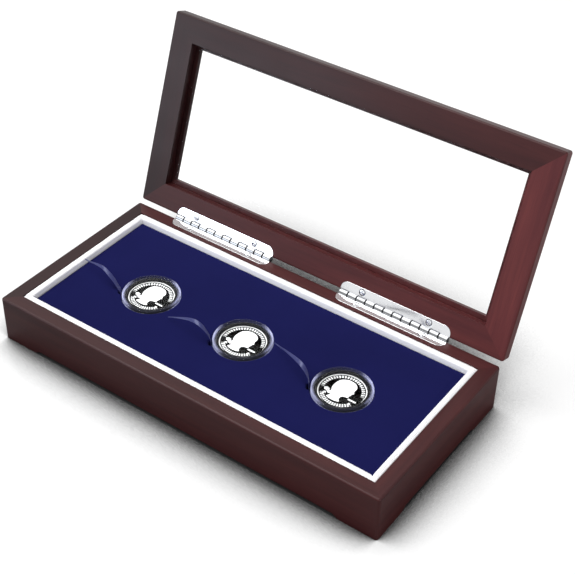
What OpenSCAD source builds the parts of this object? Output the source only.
// Coin display case: a wooden box on bracket feet, a lined tray with three
// encapsulated coins and lift ribbons, and a hinged lid with a clear window.
// The case is drawn with its lid open. +X is right, +Y is back, +Z is up.
// The origin is under the middle of the box, on the surface it stands on.

/* [Case] */
// Outer width of the box and the lid
case_w = 230; // [200:1:280]
// Outer depth of the box and the lid
case_d = 108; // [90:1:140]
// Height of the box without its lid
base_h = 26; // [24:0.5:40]
// Thickness of the box walls, which is the width of the top rim
wall_t = 7.8; // [7:0.1:12]
// Radius of the box's upright corners
corner_r = 1.4; // [1.3:0.1:5]
// Radius of the rounding along the rim's outer edge
rim_edge_r = 1; // [0.5:0.1:1.2]
// Height of the bracket feet
foot_h = 2; // [1:0.1:3]
// Length of each foot along the wall, at the floor
foot_len = 21; // [12:0.5:40]
// Length of the slope between a foot and the cut beside it
foot_slope = 3; // [1:0.5:8]

/* [Bottom] */
// Thickness of the bottom panel
panel_t = 3; // [2:0.5:4]
// How far the panel is let into the walls
panel_lap = 3; // [1:0.5:5]
// Thickness of the felt under the panel
felt_t = 0.8; // [0.5:0.1:1]

/* [Tray] */
// Width of the white lining strips
liner_w = 3.6; // [2.5:0.1:6]
// How far the lining's crown stands over the rim, which is less than the closed lid's gap
liner_rise = 0.4; // [0:0.1:0.4]
// Radius of the lining's padded crown
liner_crown_r = 6; // [4:0.5:12]
// How far the velvet pad lies under the rim
pad_drop = 3.2; // [2:0.1:5]
// Thickness of the velvet pad, which is the depth of its wells
pad_t = 5.6; // [4.5:0.1:6]
// Radius of the pad's soft upper edge
pad_edge_r = 0.8; // [0.3:0.1:1.2]
// Radius of the pad's upright corners
pad_corner_r = 1.5; // [1.4:0.1:3]
// Thickness of the card under the velvet pad
card_t = 1; // [0.5:0.1:2]

/* [Lid] */
// Thickness of the lid's frame
lid_t = 7.2; // [6.5:0.1:10]
// Width of the lid's rails and stiles on the inner face
rail_w = 14; // [11:0.5:20]
// Radius of the rounding along the lid's edges
lid_edge_r = 1; // [0.5:0.1:1.2]
// Width of the lip that holds the pane from outside
lip_w = 2.8; // [1:0.1:4]
// Thickness of that lip
lip_t = 2.4; // [1.5:0.1:3]
// Thickness of the clear pane
pane_t = 1.6; // [1:0.1:2.5]
// How far the lid opens
open_angle = 109.5; // [80:0.5:115]
// Gap between the closed lid and the box
closed_gap = 0.6; // [0.5:0.1:1]

/* [Hinges] */
// Length of a hinge's barrel
hinge_len = 65; // [40:1:80]
// Distance of each hinge's outer end from the end of the box, with the pair in the middle
hinge_inset = 28.1; // [12:0.1:36]
// How far the pair sits off the middle of the case
hinge_shift = -1.8; // [-3:0.1:3]
// Distance of the hinge axis behind the box
axis_back = 1.1; // [1.1:0.1:1.6]
// Number of knuckles on one hinge
knuckle_count = 12; // [6:2:16]
// Outer radius of a knuckle
knuckle_r = 1.6; // [1.4:0.05:1.65]
// Radius of the hinge pin
pin_r = 0.8; // [0.6:0.05:0.9]
// Width of a leaf, from the axis to its free edge
leaf_w = 6.6; // [6:0.1:7.5]
// Thickness of a leaf
leaf_t = 0.6; // [0.5:0.05:0.7]
// How deep a leaf is let into the wood
leaf_sink = 0.4; // [0.3:0.05:0.5]
// Radius of a leaf's free corners
leaf_corner_r = 4; // [1:0.5:5]

/* [Screws] */
// Distance of the screws from the hinge axis
screw_off = 4.2; // [4:0.1:4.4]
// Distance of each screw from the hinge's middle
screw_spread = 19.8; // [10:0.1:26]
// Radius of a screw's head
screw_head_r = 1.5; // [1.3:0.1:1.6]
// Radius of a screw's shank
screw_shank_r = 0.9; // [0.6:0.1:1]
// Length of a screw
screw_len = 5; // [4:0.5:6]
// Width of the cross slot in a screw's head
slot_w = 0.35; // [0.2:0.05:0.5]

/* [Coins] */
// Diameter of a coin
coin_d = 24.26; // [19:0.01:27]
// Thickness of a coin at its rim
coin_t = 1.75; // [1.2:0.05:2.5]
// Width of a coin's raised rim
coin_rim_w = 0.75; // [0.5:0.05:1.2]
// How far a coin's field lies under its rim
field_depth = 0.25; // [0.1:0.05:0.35]
// Height of the portrait over the field
relief_h = 0.2; // [0.1:0.05:0.3]
// Number of beads inside a coin's rim
bead_count = 48; // [24:4:72]
// Distance between the middles of the coins
coin_pitch = 59.6; // [50:0.1:65]
// How far the row of coins sits off the middle, along X
row_shift = 1; // [-4:0.1:4]
// How far the row of coins sits off the middle, along Y
row_y = -2.3; // [-8:0.1:8]

/* [Capsules] */
// Outer radius of a capsule
capsule_r = 15.3; // [15.1:0.1:17]
// Height of a closed capsule
capsule_h = 6; // [5.5:0.1:7]
// Thickness of the capsule's floor and top
capsule_skin = 1; // [0.8:0.1:1.2]
// Thickness of the wall of each half
capsule_wall = 0.8; // [0.6:0.05:0.85]
// Depth of the cover's shoulder, from its top face to the seam
cover_shoulder = 2; // [1.4:0.1:2.5]
// Chamfer round the cover's top edge
cover_chamfer = 0.4; // [0.2:0.05:0.6]
// Height of the shelf in the black ring that carries the coin
ring_shelf_h = 1; // [0.6:0.1:1.5]
// Width of that shelf under the coin
ring_shelf_w = 0.8; // [0.4:0.1:1.5]

/* [Ribbons] */
// Width of a lift ribbon
ribbon_w = 3; // [2:0.5:5]
// Thickness of a lift ribbon
ribbon_t = 0.3; // [0.2:0.05:0.35]
// Height of the left ribbon's arch over the velvet
left_ribbon_rise = 6.5; // [4:0.5:9]
// Height of the middle ribbon's arch over the velvet
middle_ribbon_rise = 9; // [4:0.5:10]
// Height of the right ribbon's arch over the velvet
right_ribbon_rise = 9; // [4:0.5:10]
// How far the left ribbon reaches from its capsule
left_ribbon_reach = 32; // [20:1:34]
// How far the middle ribbon reaches from its capsule
middle_ribbon_reach = 35; // [20:1:38]
// How far the right ribbon reaches from its capsule
right_ribbon_reach = 36; // [20:1:38]
// Height of a ribbon's tip over the lining's crown
ribbon_tip = 0.8; // [0.5:0.1:1.4]

/* [Fits] */
// Gap round the velvet pad and under a capsule's edge
soft_gap = 0.2; // [0.1:0.05:0.3]
// Gap between a capsule and its well
well_gap = 0.35; // [0.3:0.05:0.6]
// Running clearance, on the radius, between a pin and its bore
pin_fit = 0.05; // [0.02:0.01:0.08]
// Gap between neighbouring knuckles
knuckle_gap = 0.12; // [0.08:0.02:0.2]
// Gap between a leaf's notch and the knuckle that turns in it
notch_gap = 0.15; // [0.1:0.05:0.2]
// Clearance between a screw and its holes
screw_fit = 0.05; // [0.02:0.01:0.1]
// Gap between the pane and its frame
pane_fit = 0.2; // [0.1:0.05:0.4]
// Clearance between the two halves of a capsule, and round a coin
snap_fit = 0.06; // [0.04:0.01:0.1]

/* [Hidden] */
$fn = 64;
// A small overrun for cutting shapes
over = 1;

// Levels in the box, from the floor up
panel_z = foot_h + felt_t;
panel_top = panel_z + panel_t;
pad_top = base_h - pad_drop;
card_top = pad_top - pad_t;
card_z = card_top - card_t;
liner_top = base_h + liner_rise;

// Sizes of the inner spaces
inner_w = case_w - 2 * wall_t;
inner_d = case_d - 2 * wall_t;
tray_w = inner_w - 2 * liner_w;
tray_d = inner_d - 2 * liner_w;
window_w = case_w - 2 * rail_w;
window_d = case_d - 2 * rail_w;

// The hinge axis runs along X through this point
axis_y = case_d / 2 + axis_back;
axis_z = base_h + closed_gap / 2;
lid_z = base_h + closed_gap;
pane_z = lid_z + lid_t - lip_t - pane_t;
seat_z = base_h - leaf_sink;
pitch = hinge_len / knuckle_count;
hinge_spread = case_w / 2 - hinge_inset - hinge_len / 2;
left_hinge_x = hinge_shift - hinge_spread;
right_hinge_x = hinge_shift + hinge_spread;

// Capsules stand on the ribbons, which lie on the card
capsule_z = card_top + ribbon_t;
base_wall_in = capsule_r - capsule_wall;
cover_wall_out = base_wall_in - snap_fit;
cover_wall_in = cover_wall_out - capsule_wall;
ring_out = cover_wall_in - snap_fit;
coin_r = coin_d / 2;
ring_in = coin_r + snap_fit;
ring_z = capsule_z + capsule_skin;
ring_h = capsule_h - 2 * capsule_skin - snap_fit;
coin_z = ring_z + ring_shelf_h;
seam_h = capsule_h - cover_shoulder;
plug_z = capsule_skin + snap_fit;
well_r = capsule_r + well_gap;
left_coin_x = row_shift - coin_pitch;
right_coin_x = row_shift + coin_pitch;

// Where each ribbon leaves its capsule, and the way it reaches, as angles from +X
ribbon_leave = [208, 225, 220];
ribbon_heading = [168, 170, 157];
ribbon_rise = [left_ribbon_rise, middle_ribbon_rise, right_ribbon_rise];
ribbon_reach = [left_ribbon_reach, middle_ribbon_reach, right_ribbon_reach];
ribbon_path_steps = 20;
ribbon_tip_h = pad_drop + liner_rise + ribbon_tip;

// A rectangle with round corners, centred on the origin
module round_rect(w, d, r) {
  square([w - 2 * r, d], center = true);
  square([w, d - 2 * r], center = true);
  for (sx = [-1, 1], sy = [-1, 1])
    translate([sx * (w / 2 - r), sy * (d / 2 - r)]) circle(r);
}

// An upright half section, x from 0 to w, with its outer top corner rounded,
// and its outer bottom corner too if both is true
module edge_section(w, h, r, both) {
  low = both ? r : 0;
  translate([0, low]) square([w, h - r - low]);
  square([w - r, h]);
  translate([w - r, h - r]) circle(r);
  if (both) translate([w - r, r]) circle(r);
}

// A bar along X with its long edges rounded
module edge_bar(len, w, h, r, both) {
  rotate([90, 0, 90])
    linear_extrude(height = len, center = true) {
      edge_section(w / 2, h, r, both);
      mirror([1, 0]) edge_section(w / 2, h, r, both);
    }
}

// A block with round upright corners and a rounded top edge all the way round
module soft_block(w, d, h, cr, er, both = false) {
  edge_bar(w - 2 * cr, d, h, er, both);
  rotate([0, 0, 90]) edge_bar(d - 2 * cr, w, h, er, both);
  for (sx = [-1, 1], sy = [-1, 1])
    translate([sx * (w / 2 - cr), sy * (d / 2 - cr), 0])
      rotate_extrude() intersection() {
        edge_section(cr, h, er, both);
        square([cr, h]);
      }
}

// The quarter of a mitred frame that lies on one side, as an upright prism.
// side is 0 for front, 1 for right, 2 for back and 3 for left.
module mitre_quarter(side, w, d, reach, z, h) {
  turned = side % 2 == 1;
  half_len = (turned ? d : w) / 2;
  half_out = (turned ? w : d) / 2;
  translate([0, 0, z])
    rotate([0, 0, 90 * side])
      linear_extrude(height = h)
        polygon([
          [-half_len - over, -half_out - over],
          [half_len + over, -half_out - over],
          [half_len - reach, -half_out + reach],
          [-half_len + reach, -half_out + reach]
        ]);
}

// Turns what is drawn closed to where it lies with the lid open
module lid_open() {
  translate([0, axis_y, axis_z])
    rotate([-open_angle, 0, 0])
      translate([0, -axis_y, -axis_z]) children();
}

// Mirrors a box-side hinge shape to the lid's side of the axis
module lid_side() {
  translate([0, 0, axis_z]) mirror([0, 0, 1]) translate([0, 0, -axis_z]) children();
}

// The outline of a leaf, grown by extra on its free sides
module leaf_outline(extra) {
  r = leaf_corner_r;
  half = hinge_len / 2 + extra;
  free = leaf_w + extra;
  translate([-half + r, -free]) square([2 * (half - r), free]);
  translate([-half, -free + r]) square([2 * half, free - r]);
  for (s = [-1, 1]) translate([s * (half - r), -free + r]) circle(r);
}

// The shallow seats that the leaves are let into, cut into the box's back wall,
// each with a groove along the wall's edge that the knuckles turn in
module leaf_seats() {
  for (x = [left_hinge_x, right_hinge_x]) {
    translate([x, axis_y, seat_z])
      linear_extrude(height = leaf_sink + over) leaf_outline(screw_fit);
    translate([x, axis_y, axis_z])
      rotate([0, 90, 0])
        cylinder(h = hinge_len + 2 * screw_fit, r = knuckle_r + notch_gap, center = true);
  }
}

// Places a shape at each of the four screws on one side of the hinges
module at_screws() {
  for (x = [left_hinge_x, right_hinge_x], s = [-1, 1])
    translate([x + s * screw_spread, axis_y - screw_off, seat_z + leaf_t]) children();
}

// A countersunk screw, or with extra the hole that it leaves
module screw_shape(extra) {
  translate([0, 0, -leaf_t])
    cylinder(h = leaf_t, r1 = screw_shank_r + extra, r2 = screw_head_r + extra, $fn = 32);
  translate([0, 0, -screw_len - extra])
    cylinder(h = screw_len + extra, r = screw_shank_r + extra, $fn = 32);
}

// A screw with its cross slot
module screw() {
  difference() {
    screw_shape(0);
    for (a = [45, 135])
      rotate([0, 0, a])
        translate([-screw_head_r, -slot_w / 2, -slot_w])
          cube([2 * screw_head_r, slot_w, slot_w + over]);
  }
}

// Box walls
module foot_cuts() {
  for (turned = [0, 1]) {
    half = (turned == 1 ? case_d : case_w) / 2 - foot_len;
    rotate([90, 0, 90 * turned])
      linear_extrude(height = case_w + case_d, center = true)
        polygon([
          [-half, -over], [-half, 0], [-half + foot_slope, foot_h],
          [half - foot_slope, foot_h], [half, 0], [half, -over]
        ]);
  }
}

module base_wall(side) {
  rebate_w = inner_w + 2 * panel_lap;
  rebate_d = inner_d + 2 * panel_lap;
  color([0.24, 0.09, 0.09])
    difference() {
      intersection() {
        soft_block(case_w, case_d, base_h, corner_r, rim_edge_r);
        mitre_quarter(side, case_w, case_d, wall_t + over, -over, base_h + 2 * over);
      }
      translate([-inner_w / 2, -inner_d / 2, -over]) cube([inner_w, inner_d, base_h + 2 * over]);
      translate([-rebate_w / 2, -rebate_d / 2, -over]) cube([rebate_w, rebate_d, panel_top + over]);
      foot_cuts();
      if (side == 2) {
        leaf_seats();
        at_screws() screw_shape(screw_fit);
      }
    }
}

module bottom_panel() {
  w = inner_w + 2 * panel_lap - soft_gap;
  d = inner_d + 2 * panel_lap - soft_gap;
  color([0.55, 0.42, 0.28])
    translate([-w / 2, -d / 2, panel_z]) cube([w, d, panel_t]);
}

module bottom_felt() {
  w = inner_w + 2 * panel_lap - 2;
  d = inner_d + 2 * panel_lap - 2;
  color([0.10, 0.10, 0.11])
    translate([0, 0, foot_h]) linear_extrude(height = felt_t) round_rect(w, d, corner_r);
}

// Tray
module liner_section() {
  h = liner_top - panel_top;
  intersection() {
    translate([-liner_w / 2, 0]) square([liner_w, h]);
    translate([0, h - liner_crown_r]) circle(liner_crown_r);
  }
  translate([-liner_w / 2, 0]) square([liner_w, h - liner_crown_r]);
}

module liner(side) {
  turned = side % 2 == 1;
  len = turned ? inner_d : inner_w;
  out = (turned ? inner_w : inner_d) / 2;
  color([0.92, 0.91, 0.90])
    intersection() {
      rotate([0, 0, 90 * side])
        translate([0, -out + liner_w / 2, panel_top])
          rotate([90, 0, 90]) linear_extrude(height = len, center = true) liner_section();
      mitre_quarter(side, inner_w, inner_d, liner_w, 0, liner_top + over);
    }
}

module ribbon_frame(i, x) {
  translate([x, row_y, 0])
    rotate([0, 0, ribbon_leave[i]])
      translate([well_r, 0, 0])
        rotate([0, 0, ribbon_heading[i] - ribbon_leave[i]]) children();
}

module velvet_pad() {
  w = tray_w - 2 * soft_gap;
  d = tray_d - 2 * soft_gap;
  slit_w = ribbon_w + 4 * soft_gap;
  slit_t = ribbon_t + 3 * soft_gap;
  color([0.12, 0.12, 0.36])
    translate([0, 0, card_top])
      difference() {
        soft_block(w, d, pad_t, pad_corner_r, pad_edge_r);
        for (i = [0:2])
          translate([coin_x(i), row_y, -over]) cylinder(h = pad_t + 2 * over, r = well_r);
        for (i = [0:2])
          translate([0, 0, -over])
            ribbon_frame(i, coin_x(i))
              translate([-slit_w, -slit_w / 2, 0])
                cube([slit_w + slit_t + slit_reach(i), slit_w, pad_t + 2 * over]);
      }
}

module pad_card() {
  w = tray_w - 2 * soft_gap;
  d = tray_d - 2 * soft_gap;
  color([0.25, 0.25, 0.28])
    translate([-w / 2, -d / 2, card_z]) cube([w, d, card_t]);
}

module foam_riser() {
  w = tray_w - 2 * soft_gap;
  d = tray_d - 2 * soft_gap;
  color([0.30, 0.30, 0.32])
    translate([-w / 2, -d / 2, panel_top]) cube([w, d, card_z - panel_top]);
}

// Lid
module lid_frame(side) {
  color([0.30, 0.12, 0.12])
    lid_open()
      difference() {
        intersection() {
          translate([0, 0, lid_z]) soft_block(case_w, case_d, lid_t, corner_r, lid_edge_r, true);
          mitre_quarter(side, case_w, case_d, rail_w + lip_w + over, 0, lid_z + lid_t + over);
        }
        translate([-window_w / 2, -window_d / 2, 0])
          cube([window_w, window_d, lid_z + lid_t - lip_t]);
        translate([-window_w / 2 + lip_w, -window_d / 2 + lip_w, 0])
          cube([window_w - 2 * lip_w, window_d - 2 * lip_w, lid_z + lid_t + over]);
        if (side == 2)
          lid_side() {
            leaf_seats();
            at_screws() screw_shape(screw_fit);
          }
      }
}

module lid_pane() {
  w = window_w - 2 * pane_fit;
  d = window_d - 2 * pane_fit;
  color([0.85, 0.92, 0.95, 0.35])
    lid_open() translate([-w / 2, -d / 2, pane_z]) cube([w, d, pane_t]);
}

// Hinges
module knuckles(first) {
  for (k = [first:2:knuckle_count - 1])
    translate([-hinge_len / 2 + k * pitch + knuckle_gap / 2, 0, 0])
      rotate([0, 90, 0]) cylinder(h = pitch - knuckle_gap, r = knuckle_r, $fn = 32);
}

module leaf(first, x) {
  notch = knuckle_r + notch_gap;
  translate([x, axis_y, axis_z])
    difference() {
      union() {
        translate([0, 0, seat_z - axis_z]) linear_extrude(height = leaf_t) leaf_outline(0);
        knuckles(first);
      }
      for (k = [1 - first:2:knuckle_count - 1])
        translate([-hinge_len / 2 + k * pitch - knuckle_gap / 2, -notch, -notch])
          cube([pitch + knuckle_gap, 2 * notch, 2 * notch]);
      rotate([0, 90, 0])
        cylinder(h = hinge_len + 2 * over, r = pin_r + pin_fit, center = true, $fn = 32);
      translate([-x, -axis_y, -axis_z]) at_screws() screw_shape(screw_fit);
    }
}

module base_leaf(x) {
  color([0.80, 0.81, 0.83]) leaf(0, x);
}

module lid_leaf(x) {
  color([0.80, 0.81, 0.83]) lid_open() lid_side() leaf(1, x);
}

module hinge_pin(x) {
  color([0.70, 0.71, 0.73])
    translate([x, axis_y, axis_z])
      rotate([0, 90, 0]) cylinder(h = hinge_len, r = pin_r, center = true, $fn = 32);
}

module base_hinge_screws() {
  color([0.75, 0.76, 0.78]) at_screws() screw();
}

module lid_hinge_screws() {
  color([0.75, 0.76, 0.78]) lid_open() lid_side() at_screws() screw();
}

// Coins
function coin_x(i) = row_shift + (i - 1) * coin_pitch;
// A slit runs further out where its ribbon leaves the well at a slant
function slit_reach(i) = ribbon_w / 2 * abs(tan(ribbon_leave[i] - ribbon_heading[i]));

// A plain portrait facing right, in shares of the coin's radius:
// skull, face, neck, tied hair and shoulders, all from circles and straight lines
module portrait(r) {
  translate([-0.06, 0.24] * r) circle(0.36 * r);
  translate([0.10, 0.10] * r) circle(0.26 * r);
  polygon([[0.34, 0.16], [0.41, 0.05], [0.33, 0.02], [0.28, 0.20]] * r);
  polygon([[-0.30, 0.05], [-0.26, -0.42], [0.20, -0.42], [0.12, -0.05]] * r);
  translate([-0.38, -0.06] * r) circle(0.12 * r);
  intersection() {
    translate([-0.05, -0.62] * r) circle(0.36 * r);
    translate([-0.45, -0.72] * r) square([0.8, 0.42] * r);
  }
}

module coin(i) {
  field_r = coin_r - coin_rim_w;
  bead_r = 0.3;
  color([0.83, 0.83, 0.82])
    translate([coin_x(i), row_y, coin_z]) {
      difference() {
        cylinder(h = coin_t, r = coin_r);
        translate([0, 0, coin_t - field_depth]) cylinder(h = field_depth + over, r = field_r);
      }
      translate([0, 0, coin_t - field_depth - over / 4])
        linear_extrude(height = relief_h + over / 4) portrait(field_r);
      for (k = [0:bead_count - 1])
        rotate([0, 0, k * 360 / bead_count])
          translate([field_r - 2 * bead_r, 0, coin_t - field_depth - over / 4])
            cylinder(h = relief_h / 2 + over / 4, r = bead_r, $fn = 16);
    }
}

module coin_ring(i) {
  shelf_in = coin_r - ring_shelf_w;
  color([0.05, 0.05, 0.05])
    translate([coin_x(i), row_y, ring_z])
      difference() {
        cylinder(h = ring_h, r = ring_out);
        translate([0, 0, ring_shelf_h]) cylinder(h = ring_h, r = ring_in);
        translate([0, 0, -over]) cylinder(h = ring_h + 2 * over, r = shelf_in);
      }
}

// Capsules
module capsule_base(i) {
  color([0.90, 0.92, 0.96, 0.4])
    translate([coin_x(i), row_y, capsule_z])
      difference() {
        cylinder(h = seam_h, r = capsule_r);
        translate([0, 0, capsule_skin]) cylinder(h = seam_h, r = base_wall_in);
      }
}

module capsule_cover(i) {
  flat_h = capsule_h - cover_chamfer;
  color([0.90, 0.92, 0.96, 0.4])
    translate([coin_x(i), row_y, capsule_z])
      difference() {
        union() {
          translate([0, 0, plug_z]) cylinder(h = capsule_h - plug_z - over / 4, r = cover_wall_out);
          translate([0, 0, seam_h + snap_fit])
            cylinder(h = flat_h - seam_h - snap_fit, r = capsule_r);
          translate([0, 0, flat_h])
            cylinder(h = cover_chamfer, r1 = capsule_r, r2 = capsule_r - cover_chamfer);
        }
        translate([0, 0, plug_z - over])
          cylinder(h = capsule_h - capsule_skin - plug_z + over, r = cover_wall_in);
      }
}

// Lift ribbons: from under the capsule, up its slit and over in an arch.
// u runs from 0 where the ribbon leaves the velvet to 1 at its tip.
function arch_x(i, u) = ribbon_reach[i] * (0.25 * u + 0.75 * u * u);
function arch_z(i, u) =
  let (lift = ribbon_rise[i] * (1 - pow(1 - u, 3)))
  let (fall = (ribbon_rise[i] - ribbon_tip_h) * pow(u, 3))
    lift - fall;

module ribbon_arch(i) {
  steps = ribbon_path_steps;
  stand = soft_gap + slit_reach(i);
  upper = [
    for (k = [0:steps])
      let (u = k / steps)
        [stand + arch_x(i, u), pad_t + arch_z(i, u)]
  ];
  lower = [
    for (k = [steps:-1:0])
      let (u = k / steps)
        [stand + arch_x(i, u) + ribbon_t * (1 - u), pad_t + arch_z(i, u) - ribbon_t * u]
  ];
  foot_end = [[-ribbon_w, ribbon_t], [stand, ribbon_t]];
  foot_start = [[stand + ribbon_t, 0], [-ribbon_w, 0]];
  translate([0, ribbon_w / 2, 0])
    rotate([90, 0, 0])
      linear_extrude(height = ribbon_w) polygon(concat(foot_end, upper, lower, foot_start));
}

module lift_ribbon(i) {
  color([0.16, 0.17, 0.48])
    translate([0, 0, card_top]) {
      ribbon_frame(i, coin_x(i)) ribbon_arch(i);
      translate([coin_x(i), row_y, 0])
        rotate([0, 0, ribbon_leave[i]])
          translate([-ribbon_w, -ribbon_w / 2, 0])
            cube([well_r - well_gap + ribbon_w, ribbon_w, ribbon_t]);
    }
}

base_wall(0);  // base_front_wall
base_wall(1);  // base_right_wall
base_wall(2);  // base_back_wall
base_wall(3);  // base_left_wall
bottom_panel();
bottom_felt();
liner(0);  // liner_front
liner(1);  // liner_right
liner(2);  // liner_back
liner(3);  // liner_left
velvet_pad();
pad_card();
foam_riser();
lid_frame(0);  // lid_front_rail
lid_frame(1);  // lid_right_stile
lid_frame(2);  // lid_back_rail
lid_frame(3);  // lid_left_stile
lid_pane();
base_leaf(left_hinge_x);  // hinge_left_base_leaf
lid_leaf(left_hinge_x);  // hinge_left_lid_leaf
hinge_pin(left_hinge_x);  // hinge_left_pin
base_leaf(right_hinge_x);  // hinge_right_base_leaf
lid_leaf(right_hinge_x);  // hinge_right_lid_leaf
hinge_pin(right_hinge_x);  // hinge_right_pin
base_hinge_screws();
lid_hinge_screws();
coin(0);  // coin_left
coin(1);  // coin_middle
coin(2);  // coin_right
coin_ring(0);  // coin_ring_left
coin_ring(1);  // coin_ring_middle
coin_ring(2);  // coin_ring_right
capsule_base(0);  // capsule_base_left
capsule_base(1);  // capsule_base_middle
capsule_base(2);  // capsule_base_right
capsule_cover(0);  // capsule_cover_left
capsule_cover(1);  // capsule_cover_middle
capsule_cover(2);  // capsule_cover_right
lift_ribbon(0);  // lift_ribbon_left
lift_ribbon(1);  // lift_ribbon_middle
lift_ribbon(2);  // lift_ribbon_right
